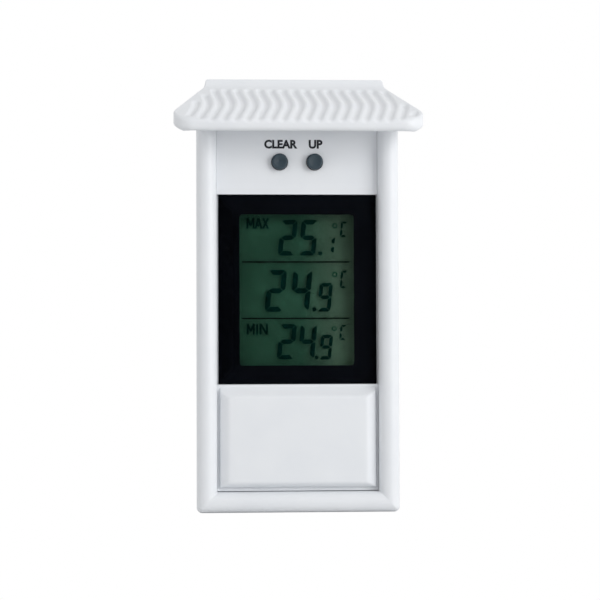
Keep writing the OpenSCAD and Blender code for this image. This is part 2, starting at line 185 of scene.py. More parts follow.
def plate(outer, holes, d0, d1, front=0.2, back=0.0):
    """A closed plate between two depths, with round edges on its outline and round its holes."""
    shell = Shell()
    ends = []
    for number, shape in enumerate([outer] + list(holes)):
        side = 1 if number == 0 else -1
        rings = [
            shell.add([spot(x, d, z) for x, z in shape(side * inset)])
            for inset, d in edge_profile(d0, d1, front, back)
        ]
        for a, b in zip(rings, rings[1:]):
            shell.skin(a, b)
        ends.append((rings[0], rings[-1]))
    shell.cap([back_ring for back_ring, _ in ends])
    shell.cap([front_ring for _, front_ring in ends], flip=True)
    return shell


def lathe(cx, cz, profile, steps=64):
    """A closed turned shape round the depth axis; its (radius, d) points start and end on the axis."""
    shell = Shell()
    rings = []
    for r, d in profile:
        if r == 0:
            rings.append(shell.add([spot(cx, d, cz)]))
        else:
            rings.append(shell.add([spot(x, d, z) for x, z in circle(cx, cz, r, steps)(0)]))
    for a, b in zip(rings, rings[1:]):
        if len(a) == 1 or len(b) == 1:
            tip, ring = (a, b) if len(a) == 1 else (b, a)
            for i in range(steps):
                shell.faces.append((tip[0], ring[i], ring[(i + 1) % steps]))
        else:
            shell.skin(a, b)
    return shell


# ---- Materials ----

class Nodes:
    """A material's node tree with short calls to add to it."""

    def __init__(self, name):
        self.material = bpy.data.materials.new(name)
        self.material.use_nodes = True
        self.tree = self.material.node_tree
        self.tree.nodes.clear()
        self.out = self.node("OutputMaterial")
        self.place = self.node("TexCoord").outputs["Object"]

    def node(self, kind, **values):
        made = self.tree.nodes.new("ShaderNode" + kind)
        for key, value in values.items():
            setattr(made, key, value)
        return made

    def link(self, source, target):
        self.tree.links.new(source, target)

    def noise(self, size, detail=2.0, rough=0.5):
        """Noise whose patches are about size millimetres across."""
        made = self.node("TexNoise")
        made.inputs["Scale"].default_value = 1 / (size * MM)
        made.inputs["Detail"].default_value = detail
        made.inputs["Roughness"].default_value = rough
        self.link(self.place, made.inputs["Vector"])
        return made.outputs["Fac"]

    def spread(self, value, low, high, at=(0.3, 0.7)):
        """Maps value, between the two numbers of at, to low..high."""
        made = self.node("MapRange", clamp=True)
        for key, number in (("From Min", at[0]), ("From Max", at[1]), ("To Min", low), ("To Max", high)):
            made.inputs[key].default_value = number
        self.link(value, made.inputs["Value"])
        return made.outputs["Result"]

    def tones(self, value, *stops):
        """A colour ramp from (place, colour) stops."""
        made = self.node("ValToRGB")
        ramp = made.color_ramp
        while len(ramp.elements) < len(stops):
            ramp.elements.new(0.5)
        for element, (where, colour) in zip(ramp.elements, stops):
            element.position = where
            element.color = (*colour, 1)
        self.link(value, made.inputs["Fac"])
        return made.outputs["Color"]

    def relief(self, height, depth, strength=1.0):
        """A bump that is depth millimetres deep."""
        made = self.node("Bump")
        made.inputs["Distance"].default_value = depth * MM
        made.inputs["Strength"].default_value = strength
        self.link(height, made.inputs["Height"])
        return made.outputs["Normal"]

    def principled(self, **sockets):
        made = self.node("BsdfPrincipled")
        for key, value in sockets.items():
            socket = made.inputs[key.replace("_", " ")]
            if hasattr(value, "is_linked"):
                self.link(value, socket)
            else:
                socket.default_value = value
        self.link(made.outputs["BSDF"], self.out.inputs["Surface"])
        return made


def surface(name, dark, light, rough, grain, depth, patch=12.0, metal=0.0, **sockets):
    """Solid material: its colour drifts between two tones, with a fine grain in its gloss and relief."""
    n = Nodes(name)
    drift = n.noise(patch)
    fine = n.noise(grain, 4.0, 0.6)
    n.principled(
        Base_Color=n.tones(drift, (0.35, dark), (0.65, light)),
        Roughness=n.spread(fine, rough - 0.06, rough + 0.06),
        Normal=n.relief(fine, depth),
        Metallic=metal,
        **sockets,
    )
    return n.material


def striped(name, one, other, width, axis, rough, depth=0.0, metal=0.0):
    """Solid material with soft stripes of two tones, width millimetres apart, across an axis."""
    n = Nodes(name)
    wave = n.node("TexWave", wave_type="BANDS", bands_direction=axis)
    wave.inputs["Scale"].default_value = 1 / (width * MM) / 3.2
    wave.inputs["Distortion"].default_value = 0.2
    n.link(n.place, wave.inputs["Vector"])
    fine = n.noise(0.3, 3.0)
    n.principled(
        Base_Color=n.tones(wave.outputs["Fac"], (0.42, one), (0.58, other)),
        Roughness=n.spread(fine, rough - 0.05, rough + 0.05),
        Normal=n.relief(fine, depth),
        Metallic=metal,
    )
    return n.material


def clear(name, tint, gloss, rough=0.02):
    """Thin clear or tinted pane: light goes straight through, and it mirrors more at a slant."""
    n = Nodes(name)
    through = n.node("BsdfTransparent")
    haze = n.noise(20.0)
    dim = tuple(c * 0.97 for c in tint)
    n.link(n.tones(haze, (0.3, dim), (0.7, tint)), through.inputs["Color"])
    mirror = n.node("BsdfGlossy")
    mirror.inputs["Roughness"].default_value = rough
    rim = n.node("Fresnel")
    rim.inputs["IOR"].default_value = gloss
    mix = n.node("MixShader")
    n.link(rim.outputs["Fac"], mix.inputs["Fac"])
    n.link(through.outputs["BSDF"], mix.inputs[1])
    n.link(mirror.outputs["BSDF"], mix.inputs[2])
    n.link(mix.outputs["Shader"], n.out.inputs["Surface"])
    return n.material


def reflector_film_with_painted_glare():
    """Display backing: grey green film, with a painted reflection that turns it paler and warmer towards
    the right.
    """
    n = Nodes("reflector film with painted glare")
    split = n.node("SeparateXYZ")
    n.link(n.place, split.inputs["Vector"])
    across = n.spread(split.outputs["X"], 0.0, 1.0, at=(-0.019, 0.019))
    fine = n.noise(0.08, 2.0)
    n.principled(
        # Painted reflection: the stops from 0.55 to the right edge make the film paler and warmer, as
        # light catching its right side would.
        Base_Color=n.tones(across, (0.0, (0.26, 0.53, 0.38)), (0.55, (0.30, 0.58, 0.43)),
                           (0.84, (0.85, 0.95, 0.76)), (1.0, (0.80, 0.88, 0.70))),
        Roughness=n.spread(fine, 0.5, 0.65),
        Normal=n.relief(fine, 0.004),
    )
    return n.material


def board_material():
    """Green solder mask over a pattern of copper tracks."""
    n = Nodes("board green")
    cells = n.node("TexVoronoi", feature="DISTANCE_TO_EDGE", distance="CHEBYCHEV")
    cells.inputs["Scale"].default_value = 1 / (3.0 * MM)
    n.link(n.place, cells.inputs["Vector"])
    track = n.spread(cells.outputs["Distance"], 1.0, 0.0, at=(0.06, 0.1))
    n.principled(
        Base_Color=n.tones(track, (0.3, (0.010, 0.085, 0.030)), (0.7, (0.022, 0.17, 0.055))),
        Roughness=n.spread(n.noise(0.5), 0.25, 0.4),
        Normal=n.relief(track, 0.03),
    )
    return n.material


def cell_material():
    """Battery sleeve: two plain colours with a narrow pale ring where they meet."""
    n = Nodes("cell sleeve")
    split = n.node("SeparateXYZ")
    n.link(n.place, split.inputs["Vector"])
    along = n.spread(split.outputs["X"], 0.0, 1.0, at=(-0.0198, 0.0247))
    green, grey, pale = (0.03, 0.14, 0.06), (0.09, 0.10, 0.11), (0.6, 0.6, 0.58)
    n.principled(
        Base_Color=n.tones(along, (0.0, green), (0.66, green), (0.67, pale), (0.70, pale),
                           (0.71, grey), (1.0, grey)),
        Roughness=n.spread(n.noise(0.4), 0.22, 0.34),
        Normal=n.relief(n.noise(1.5), 0.01),
    )
    return n.material


MATERIALS = {
    "white_plastic": surface("white plastic", (0.795, 0.818, 0.850), (0.815, 0.836, 0.864),
                             0.42, 0.12, 0.0035),
    "button_plastic": surface("button plastic", (0.020, 0.040, 0.056), (0.027, 0.049, 0.066),
                              0.5, 0.10, 0.006, 2.0),
    "window_clear": clear("window clear", (1.0, 1.0, 1.0), 1.22),
    "border_ink": surface("border ink", (0.0004, 0.0012, 0.0034), (0.0008, 0.0018, 0.0046),
                          0.5, 0.15, 0.001, Specular_IOR_Level=0.05),
    "tape_foam": surface("tape foam", (0.02, 0.02, 0.02), (0.05, 0.05, 0.05), 0.9, 0.2, 0.04, 0.6),
    "polariser_film": clear("polariser film", (0.53, 0.58, 0.58), 1.1),
    "display_glass": clear("display glass", (0.96, 0.99, 0.97), 1.1),
    "reflector_film": reflector_film_with_painted_glare(),
    "holder_plastic": surface("holder plastic", (0.70, 0.70, 0.68), (0.76, 0.76, 0.74),
                              0.5, 0.15, 0.004),
    "strip_rubber": striped("strip rubber", (0.62, 0.22, 0.25), (0.05, 0.05, 0.06), 0.4, "X", 0.7),
    "board_green": board_material(),
    "epoxy_black": surface("epoxy black", (0.006, 0.006, 0.007), (0.014, 0.014, 0.015),
                           0.3, 0.6, 0.03, 3.0),
    "can_steel": surface("can steel", (0.52, 0.52, 0.54), (0.66, 0.66, 0.68),
                         0.28, 0.2, 0.003, 1.5, 1.0),
    "chip_ceramic": striped("chip ceramic", (0.42, 0.30, 0.18), (0.62, 0.61, 0.58), 1.3, "X", 0.45),
    "sensor_epoxy": surface("sensor epoxy", (0.26, 0.03, 0.015), (0.38, 0.06, 0.03),
                            0.3, 0.3, 0.01, 1.0),
    "plunger_plastic": surface("plunger plastic", (0.010, 0.010, 0.011), (0.020, 0.020, 0.022),
                               0.45, 0.1, 0.004, 1.0),
    "switch_plastic": surface("switch plastic", (0.016, 0.017, 0.020), (0.026, 0.027, 0.031),
                              0.5, 0.1, 0.006, 1.0),
    "dome_steel": surface("dome steel", (0.58, 0.58, 0.56), (0.70, 0.70, 0.68),
                          0.25, 0.15, 0.003, 1.0, 1.0),
    "cell_sleeve": cell_material(),
    "nickel": surface("nickel", (0.58, 0.56, 0.52), (0.70, 0.68, 0.64), 0.26, 0.2, 0.003, 2.0, 1.0),
    "red_insulation": surface("red insulation", (0.45, 0.02, 0.012), (0.55, 0.03, 0.02),
                              0.4, 0.1, 0.004, 1.0),
    "black_insulation": surface("black insulation", (0.010, 0.010, 0.010), (0.02, 0.02, 0.02),
                                0.4, 0.1, 0.004, 1.0),
    "screw_steel": striped("screw steel", (0.46, 0.46, 0.48), (0.58, 0.58, 0.60),
                           0.25, "Z", 0.3, 0.004, 1.0),
}
PRINT_INK = surface("print ink", (0.003, 0.005, 0.010), (0.005, 0.007, 0.013), 0.45, 0.1, 0.001, 1.0)
SEGMENT_INK = surface("segment ink", (0.012, 0.10, 0.085), (0.018, 0.115, 0.098), 0.6, 0.1, 0.001, 1.0,
                      Specular_IOR_Level=0.0)
FAINT_INK = surface("faint ink", (0.07, 0.26, 0.19), (0.08, 0.28, 0.21), 0.6, 0.1, 0.001, 1.0,
                    Specular_IOR_Level=0.0)
WHITE = MATERIALS["white_plastic"]


# ---- Roof ----

RIDGE_HALF = 29.8  # half width of the level ridge
RIDGE_REACH = 3.4  # the ridge's depth
RIDGE_H = 2.6  # height of the ridge above the slope's foot
FASCIA_H = 4.6  # height of the upright front edge
SLOPE_END = 2.0  # how far behind the front edge the slope reaches the fascia's height
ROOF_WALL = 2.0  # thickness of the slab
NOSE_IN = 1.5  # rounding of the fascia's lower edge in front, inward
NOSE_UP = 2.2  # and upward
SIDE_NOSE = 0.8  # rounding of the lower edge at the sides
BROW_R = 1.2  # rounding between slope and fascia in front
VERGE_R = 0.7  # and at the sides
PLAN_R = 6.5  # rounding of the front corners seen from above
ROOF_COLUMNS = 340
EDGE_COLUMNS = 1.3 * BROW_R  # width of the strips with close columns along both edges


class RoofShape:
    """The roof's size, its outline in plan and the plane of its slope."""

    def __init__(self):
        b = Box("roof")
        self.reach, self.low, self.top = b.d1, b.z0, b.z1
        high = self.low + FASCIA_H
        self.foot_d, self.foot_z = RIDGE_REACH + 1, self.top - RIDGE_H
        self.fall = (self.foot_z - high) / (self.reach - SLOPE_END - self.foot_d)
        self.cx, self.cd = b.x1 - PLAN_R, self.reach - PLAN_R
        across, along = self.cx - RIDGE_HALF, self.cd - RIDGE_REACH
        tangent = math.asin(PLAN_R / math.hypot(across, along))
        self.lean = math.pi / 2 - math.atan2(along, across) + tangent

    def slope(self, d):
        """Height of the slope's plane."""
        return self.foot_z - (d - self.foot_d) * self.fall

    def under(self, d):
        """Height of the lower edge of the fascia."""
        return self.low + max(0.0, self.reach - NOSE_IN - d) * self.fall

    def side(self, d):
        """The outline's half width at d, and the direction (x, d) that the outline faces there."""
        touch = self.cd - PLAN_R * math.sin(self.lean)
        if d <= touch:
            half = self.cx + PLAN_R * math.cos(self.lean) - (touch - d) * math.tan(self.lean)
            return half, math.cos(self.lean), -math.sin(self.lean)
        turn = math.asin(clamp((d - self.cd) / PLAN_R, -1.0, 1.0))
        return self.cx + PLAN_R * math.cos(turn), math.cos(turn), math.sin(turn)

    def drop(self, x, d):
        """How far the rounded edge falls below the slope, more in front than at the sides."""
        x, d = abs(x) - self.cx, d - self.cd
        side = x * math.cos(self.lean) - d * math.sin(self.lean)
        if -self.lean <= math.atan2(d, x) <= math.pi / 2:
            near, facing = PLAN_R - math.hypot(x, d), d / math.hypot(x, d)
        else:
            near, facing = PLAN_R - max(side, d), 1.0 if d > side else 0.0
        r = VERGE_R + (BROW_R - VERGE_R) * smooth(facing)
        return r - math.sqrt(r ** 2 - (r - clamp(near, 0.0, r)) ** 2)

    def rows(self):
        """(d, z) from the back over the ridge and down to the front, before the edges are rounded."""
        lip = 0.6
        bend = 1.6
        edge = 0.3
        steps = 56
        made = [(0.0, self.top - edge), (edge, self.top), (1.5, self.top)]
        made += arc(RIDGE_REACH - lip, self.top - lip, lip, 90, 0, 5)
        start, turn = Vector(made[-1]), Vector((self.foot_d, self.foot_z))
        end = Vector((self.foot_d + bend, self.slope(self.foot_d + bend)))
        for i in range(1, 11):
            t = i / 10
            made.append(tuple(start * (1 - t) ** 2 + turn * 2 * t * (1 - t) + end * t * t))
        depths = [end.x + (self.cd - end.x) * i / steps for i in range(1, steps + 1)]
        depths += [d for _, d in arc(0, self.cd, PLAN_R, 0, 90, 30)[1:]]
        return made + [(d, self.slope(d)) for d in depths]


def roof_columns(half):
    """Places across the roof, close together near both edges."""
    edge = [EDGE_COLUMNS * (1 - math.cos(math.radians(turn))) for turn in range(0, 91, 6)]
    middle = ROOF_COLUMNS - 2 * len(edge)
    span = 2 * (half - edge[-1])
    inner = [-half + edge[-1] + span * i / middle for i in range(1, middle)]
    return [t - half for t in edge] + inner + [half - t for t in reversed(edge)]


class Grooves:
    """The tile relief: grooves that run down the slope and bow to the right halfway."""

    first = -35.3  # front end of the leftmost groove
    pitch = 3.755
    count = 20
    swing = 2.0  # how far a groove bows to the right
    drift = 1.0  # how far its back end lies to the right of its front end
    half = 1.5  # half the groove's width
    front_d = 36.8
    back_d = 6.8
    borders = (3.2, 2.1)  # plain strips at the left and right edge
    least_run = 4.0
    shallow, deeper = 0.55, 0.2  # depth at the front, and what is added towards the ridge
    full_width = 1.15  # above 1, so that a groove has a flat bottom

    def __init__(self, shape):
        self.paths = []
        for start in [self.first + self.pitch * i for i in range(self.count)]:
            run = [d for d in self.depths() if self.fits(shape, start, d)]
            if run and run[0] - run[-1] > self.least_run:
                self.paths.append((start, run[-1], run[0]))

    def depths(self):
        steps = 120
        return [self.front_d + (self.back_d - self.front_d) * i / steps for i in range(steps + 1)]

    def fits(self, shape, start, d):
        half = shape.side(d)[0]
        return -half + self.borders[0] < self.middle(start, d) < half - self.borders[1]

    def middle(self, start, d):
        t = clamp((self.front_d - d) / (self.front_d - self.back_d))
        return start + self.drift * t + self.swing / 2 * (1 - math.cos(2 * math.pi * t))

    def depth(self, x, d):
        """Depth of the relief in millimetres, deeper towards the ridge."""
        deepest = 0.0
        for start, back, front in self.paths:
            across = x - self.middle(start, d)
            if abs(across) < self.half:
                past = max(0.0, d - front + self.half, back + self.half - d)
                near = math.hypot(across, past)
                deepest = max(deepest, smooth(self.full_width - near / self.half))
        return deepest * (self.shallow + self.deeper * clamp((self.front_d - d) / 20))


def roof_shell():
    """The roof's skin: the relief on top, the fascia, the rounded lip and the inner face."""
    shape = RoofShape()
    grooves = Grooves(shape)
    shell = Shell()
    rows = []
    for d, z in shape.rows():
        row = []
        for x in roof_columns(shape.side(d)[0]):
            push = grooves.depth(x, d) if shape.foot_d < d else 0.0
            row.append(spot(x, d, z - shape.drop(x, d) - push))
        rows.append(shell.add(row))
    for a, b in zip(rows, rows[1:]):
        shell.skin(a, b, closed=False)
    ends = [(shape.side(d), d, z) for d, z in shape.rows()]
    front = roof_columns(shape.side(shape.reach)[0])[1:-1]
    outline = [(-half, d, -nx, nd, z) for (half, nx, nd), d, z in ends]
    outline += [(x, shape.reach, 0.0, 1.0, ends[-1][2]) for x in front]
    outline += [(half, d, nx, nd, z) for (half, nx, nd), d, z in reversed(ends)]
    rings = [[row[0] for row in rows] + rows[-1][1:-1] + [row[-1] for row in reversed(rows)]]
    lip = 0.35

    def ring(inset, height):
        return shell.add([spot(x - nx * inset, d - nd * inset, height(d, z))
                          for x, d, nx, nd, z in outline])

    for turn in range(0, 91, 15):
        a = math.radians(turn)
        nose = []
        for x, d, nx, nd, z in outline:
            facing = smooth(nd)
            inset = (SIDE_NOSE + (NOSE_IN - SIDE_NOSE) * facing) * (1 - math.cos(a))
            up = (SIDE_NOSE + (NOSE_UP - SIDE_NOSE) * facing) * (1 - math.sin(a))
            nose.append(spot(x - nx * inset, d - nd * inset, shape.under(d) + up))
        rings.append(shell.add(nose))
    rings.append(ring(ROOF_WALL - lip, lambda d, z: shape.under(d)))
    rings.append(ring(ROOF_WALL, lambda d, z: shape.under(d) + lip))
    rings.append(ring(ROOF_WALL, lambda d, z: z - ROOF_WALL * 1.1))
    for a, b in zip(rings, rings[1:]):
        shell.skin(a, b, closed=False)
    inner = rings[-1]
    count = len(rows)
    left, right = inner[:count], inner[:-count - 1:-1]
    for i in range(count - 2):
        shell.faces.append((left[i], right[i], right[i + 1], left[i + 1]))
    shell.cap([inner[count - 2:len(inner) - count + 2]])
    shell.cap([rows[0] + [r[-1] for r in rings[1:]] + [r[0] for r in reversed(rings[1:])]])
    return shell


def roof_back():
    """The roof's rear wall, and the neck that stands on the housing's top."""
    shape = RoofShape()
    rear_half, rear_d = 27.3, 0.1
    neck_half, neck_reach, neck_wall = 27.2, 19.8, 1.8
    rear = round_rect(-rear_half, rear_half, shape.under(0) + 0.2, shape.top - 0.4, 1.6)
    shell = plate(rear, [], rear_d, ROOF_WALL, 0.0)
    seat = Box("frame").z1 + 0.1
    neck = round_rect(-neck_half, neck_half, rear_d + 0.02, neck_reach, 0.5)

    def around(inset):
        corners = [Vector(p) for p in neck(inset)]
        made = []
        for a, b in zip(corners, corners[1:] + corners[:1]):
            parts = max(1, int((b - a).length / 1.5))
            made += [a + (b - a) * i / parts for i in range(parts)]
        return made

    def ring(points, at_top):
        """The neck's foot on the housing, or its top, which stays inside the slab."""
        ends = []
        for p in points:
            high = min(shape.foot_z - 1.4, shape.slope(p.y) - 1.0)
            ends.append(spot(p.x, p.y, high if at_top else seat))
        return shell.add(ends)

    outer, inner = around(0.0), around(neck_wall)
    rings = [ring(outer, False), ring(outer, True)]
    shell.skin(*rings)
    inner_rings = [ring(inner, False), ring(inner, True)]
    shell.skin(*inner_rings)
    shell.cap([rings[0], inner_rings[0]])
    shell.cap([rings[1], inner_rings[1]])
    return shell


def make_roof():
    shell = roof_shell()
    shell.join(roof_back())
    return piece("roof_tiles", shell, WHITE, nodes=["roof"])


# ---- Housing ----

PILLAR_R = 3.3
CORNER_R = 1.8
PANEL_D = 19.0  # the panel's face
PANEL_T = 3.0


def frame_path(inset, b):
    """The U path of the mouldings in front view, (x, z), drawn in by inset."""
    r = max(CORNER_R - inset, 0.25)
    x, z = b.x1 - inset, b.z0 + inset
    half = [(x, b.z1), (x, b.z1 - 4), (x, 60.0), (x, z + r)] + arc(x - r, z + r, r, 0, -90, 7)[1:]
    return [(-px, pz) for px, pz in half] + [(0.0, z)] + list(reversed(half))


def make_frame():
    """The pillars and the bottom bar as one swept half-round moulding, with the panel's ledge."""
    b = Box("frame")
    back, crest = b.d0, b.d1
    section = [(0.25, back), (0.07, back + 0.07), (0.0, back + 0.25)]
    section += [(PILLAR_R - p, crest - PILLAR_R + q) for p, q in arc(0, 0, PILLAR_R, 0, 180, 26)]
    section += [(2 * PILLAR_R, back)]
    shell = Shell()
    rings = [shell.add([spot(x, d, z) for x, z in frame_path(inset, b)]) for inset, d in section]
    for a, c in zip(rings, rings[1:] + rings[:1]):
        shell.skin(a, c, closed=False)
    shell.cap([[ring[0] for ring in rings]])
    shell.cap([[ring[-1] for ring in rings]], flip=True)
    overlap, ledge_w, ledge_low, top_wall = 0.1, 1.3, 6.5, 1.8
    half = b.x1 - 2 * PILLAR_R + overlap
    hole_half = half - overlap - ledge_w
    ledge_d = panel_back() - 0.1
    ledge = round_rect(-half, half, ledge_low, b.z1 - 1.7)
    ledge_hole = round_rect(-hole_half, hole_half, ledge_low + 1.4, b.z1 - 3.2)
    shell.join(plate(ledge, [ledge_hole], ledge_d - ledge_w, ledge_d, 0.0))
    shell.join(plate(round_rect(-half, half, b.z1 - top_wall, b.z1), [], back, PANEL_D, 0.2))
    return piece("frame_mouldings", shell, WHITE, nodes=["frame"])


def panel_back():
    return PANEL_D - PANEL_T


PAD = {"half": 25.3, "low": 8.0, "high": 40.4, "edge": 1.2, "side": 2.9, "top_bevel": 3.2,
       "low_bevel": 1.5}


def pad_height(x, z, pad):
    """Depth of the pad's surface at a point of the front view, its planes softly blended."""
    face = pad["face"]
    rise = face - PANEL_D

    def slope(t, edge, bevel):
        return PANEL_D + edge + (rise - edge) * t / bevel

    heights = [
        slope(x + pad["half"], pad["edge"], pad["side"]),
        slope(pad["half"] - x, pad["edge"], pad["side"]),
        slope(z - pad["low"], pad["edge"], pad["low_bevel"]),
        slope(pad["high"] - z, 0.0, pad["top_bevel"]),
        face,
    ]
    blend = 0.22
    return -blend * math.log(sum(math.exp(-(h - PANEL_D) / blend) for h in heights)) + PANEL_D + 0.02


def graded(low, high, middle):
    """Grid lines that are close together near both ends."""
    near = [0, 0.08, 0.2, 0.36, 0.56, 0.8, 1.1, 1.45, 1.85, 2.25, 2.6, 2.9, 3.2, 3.55, 4.0, 4.6, 5.4]
    inner = [low + near[-1] + (high - low - 2 * near[-1]) * i / middle for i in range(1, middle)]
    return [low + t for t in near] + inner + [high - t for t in reversed(near)]


def pad_shell(pad):
    """The raised pad as a soft-edged cushion shape, closed below the panel's face."""
    xs = graded(-pad["half"], pad["half"], 20)
    zs = graded(pad["low"], pad["high"], 12)
    ease_r = 0.35
    shell = Shell()
    rows = []
    for z in zs:
        row = []
        for x in xs:
            near = min(x + pad["half"], pad["half"] - x, z - pad["low"])
            ease = ease_r * (1 - clamp(near / ease_r)) ** 2
            row.append(spot(x, max(pad_height(x, z, pad) - ease, PANEL_D - 0.3), z))
        rows.append(shell.add(row))
    for a, b in zip(rows, rows[1:]):
        shell.skin(a, b, closed=False)
    rim = rows[0] + [r[-1] for r in rows[1:]]
    rim += list(reversed(rows[-1][:-1])) + [r[0] for r in reversed(rows[1:-1])]
    under_y = WALL_Y - (PANEL_D - 0.6) * MM
    under = shell.add([Vector((shell.points[i].x, under_y, shell.points[i].z)) for i in rim])
    shell.skin(rim, under)
    shell.cap([under])
    return shell


def make_panel():
    """The panel with its window seat and button holes, the raised pad and the screw posts behind."""
    b = Box("front_panel")
    lens = Box("window_lens")
    half = b.x1 + 0.17
    floor = lens.d0 - 0.3
    hole_r, lens_gap, overlap, edge = 2.75, 0.1, 0.05, 0.12
    holes = [circle(c.x, c.z, hole_r) for c in (Box("clear_button"), Box("up_button"))]
    sight = round_rect(-20.6, 20.6, 45.5, 98.3, 0.5)
    shell = plate(round_rect(-half, half, b.z0, b.z1), [sight] + holes, panel_back(), floor, 0.0)
    upper = round_rect(-half, half, lens.z1 + lens_gap, b.z1, 0.2)
    lower = round_rect(-half, half, b.z0, lens.z0 - lens_gap, 0.2)
    shell.join(plate(upper, holes, floor - overlap, PANEL_D, edge))
    shell.join(plate(lower, [], floor - overlap, PANEL_D, edge))
    shell.join(pad_shell({**PAD, "face": b.d1}))
    post_r, bore_r = 2.2, 1.0
    for x in (-21.5, 21.5):
        for z in (37.5, 107.0):
            post, bore = circle(x, z, post_r), circle(x, z, bore_r)
            shell.join(plate(post, [bore], b.d0, panel_back() + overlap, 0.0))
    return piece("panel_and_pad", shell, WHITE, nodes=["front_panel"])


# ---- Buttons ----

def make_button(node, dimple):
    """A round push button: stem, flange, shaft with a rounded rim and a shallow dish."""
    b = Box(node)
    r, rim, dish, dish_r = 2.6, 0.45, 0.25, 1.9
    stem_r, flange_r, flange_t, edge = 1.8, 3.5, 0.9, 0.2
    front = panel_back() - 0.2
    back = front - flange_t
    face = b.d1
    ball = (dish_r ** 2 + dish ** 2) / (2 * dish)
    profile = [(0, b.d0), (stem_r - edge, b.d0), (stem_r, b.d0 + edge), (stem_r, back)]
    profile += [(flange_r - edge, back), (flange_r, back + edge), (flange_r, front - edge)]
    profile += [(flange_r - edge, front), (r, front), (r, face - rim - 1.5)]
    profile += [(r - rim + p, face - rim + q) for p, q in arc(0, 0, rim, 0, 90, 6)]
    dish_rings = 9
    for i in range(dish_rings):
        radius = dish_r * (1 - i / dish_rings)
        profile.append((radius, face - dish + ball - math.sqrt(ball ** 2 - radius ** 2)))
    profile.append((0, face - dish))
    shell = lathe(b.x, b.z, profile)
    if dimple:
        dimple_x, dimple_z, dimple_r, dimple_depth = -0.3, 0.2, 0.7, 0.12
        for i, p in enumerate(shell.points):
            x, z, d = p.x / MM - b.x, p.z / MM - b.z, (WALL_Y - p.y) / MM
            if d > face - 0.6:
                near = math.hypot(x - dimple_x, z - dimple_z)
                sunk = dimple_depth * smooth(1 - near / dimple_r)
                shell.points[i] = spot(x + b.x, d - sunk, z + b.z)
    return piece(node + "_cap", shell, MATERIALS["button_plastic"], node, nodes=[node])


# ---- Window and display ----

def make_window():
    """The clear pane, and the black print behind it with the opening for the display."""
    corner_r = 0.3
    b = Box("window_lens")
    piece("window_pane", plate(round_rect(b.x0, b.x1, b.z0, b.z1, corner_r), [], b.d0, b.d1, 0.2),
          MATERIALS["window_clear"], nodes=["window_lens"])
    b = Box("window_border")
    # Painted shadow: the opening stops at 18.5 mm on the right against 18.8 mm on the left, with rounded
    # corners, so the black print covers part of the shaded strip along the display's right edge.
    sight = round_rect(-18.8, 18.5, 47.3, 96.5, 1.0)
    outline = round_rect(b.x0, b.x1, b.z0, b.z1, corner_r)
    piece("window_print", plate(outline, [sight], b.d0, b.d1, 0.0),
          MATERIALS["border_ink"], nodes=["window_border"])


def segment_shapes(w, h, s, gap, r):
    """Outlines of the seven segments of a digit w wide and h high, with strokes s wide."""
    m = h / 2
    q = r * (1 - math.sqrt(0.5))
    g = gap / 2
    top = [(r, h), (w - r, h), (w - q - g, h - q), (w - s - g, h - s), (s + g, h - s), (q + g, h - q)]
    upper = [(w, h - r), (w - q, h - q - g), (w - s, h - s - g), (w - s, m + s / 2 + g),
             (w - s * 0.3, m + g), (w, m + g + s * 0.25)]
    middle = [(s * 0.35 + g, m), (s + g, m + s / 2), (w - s - g, m + s / 2), (w - s * 0.35 - g, m),
              (w - s - g, m - s / 2), (s + g, m - s / 2)]

    def flip_x(shape):
        return [(w - x, z) for x, z in reversed(shape)]

    def flip_z(shape):
        return [(x, h - z) for x, z in reversed(shape)]

    return {"a": top, "b": upper, "c": flip_z(upper), "d": flip_z(top),
            "e": flip_x(flip_z(upper)), "f": flip_x(upper), "g": middle}


LIT = {"1": "bc", "2": "abged", "4": "fgbc", "5": "afgcd", "9": "abcdfg"}


def flat_shapes(shapes, d0, d1):
    """Thin plates with straight sides, one for each closed outline."""
    shell = Shell()
    for shape in shapes:
        back = shell.add([spot(x, d0, z) for x, z in shape])
        front = shell.add([spot(x, d1, z) for x, z in shape])
        shell.skin(back, front)
        shell.cap([back])
        shell.cap([front], flip=True)
    return shell


LEAN = 0.1  # how far the display's marks lean to the right for their height


def placed(shapes, keys, x, z):
    return [[(x + px + pz * LEAN, z + pz) for px, pz in shapes[key]] for key in keys]


def digit(mark, x, z, w, h, s, gap):
    return placed(segment_shapes(w, h, s, gap, s * 0.75), LIT[mark], x, z)


def dot(x, z, s):
    return [[(x + px * s, z + pz * s) for px, pz in arc(0.5, 0.5, 0.55, 22.5, 337.5, 7)]]


def unit_c(x, z, w, h, s):
    """The letter C of four thin separate segments."""
    return placed(segment_shapes(w, h, s, 0.35, s * 0.3), "adef", x, z)


def ring_shell(x, z, r, s, d0, d1):
    return plate(circle(x, z, r, 20), [circle(x, z, r - s, 20)], d0, d1, 0.0)


READOUT = (
    # mark, x, z, width, height, stroke
    ("2", -6.2, 83.3, 5.5, 11.7, 1.5),
    ("5", 0.6, 83.3, 5.5, 11.7, 1.5),
    ("1", 9.2, 83.5, 2.9, 6.4, 1.05),
    ("2", -10.6, 64.9, 6.1, 13.7, 1.65),
    ("4", -2.3, 64.9, 6.2, 13.7, 1.65),
    ("9", 6.7, 64.9, 4.3, 9.4, 1.2),
    ("2", -6.6, 49.3, 5.5, 11.5, 1.45),
    ("4", 0.2, 49.3, 5.4, 11.5, 1.45),
    ("9", 7.2, 49.2, 3.9, 8.1, 1.1),
)
POINTS = ((7.1, 83.3, 1.35), (5.1, 65.0, 1.35), (5.8, 49.3, 1.15))  # x, z, size
UNITS = ((14.2, 89.4, 2.3, 5.1), (14.1, 72.6, 2.2, 5.7), (13.9, 55.6, 2.1, 4.9))  # x, z, width, height
UNIT_STROKE = 0.7
DEGREES = ((12.6, 93.1, 0.85), (12.5, 77.1, 0.9), (12.3, 59.3, 0.8))  # x, z, radius
DEGREE_STROKE = 0.36
ROW_LINES = (81.2, 62.7)
ROW_LEFT, ROW_RIGHT, ROW_HALF = -17.9, 17.3, 0.24


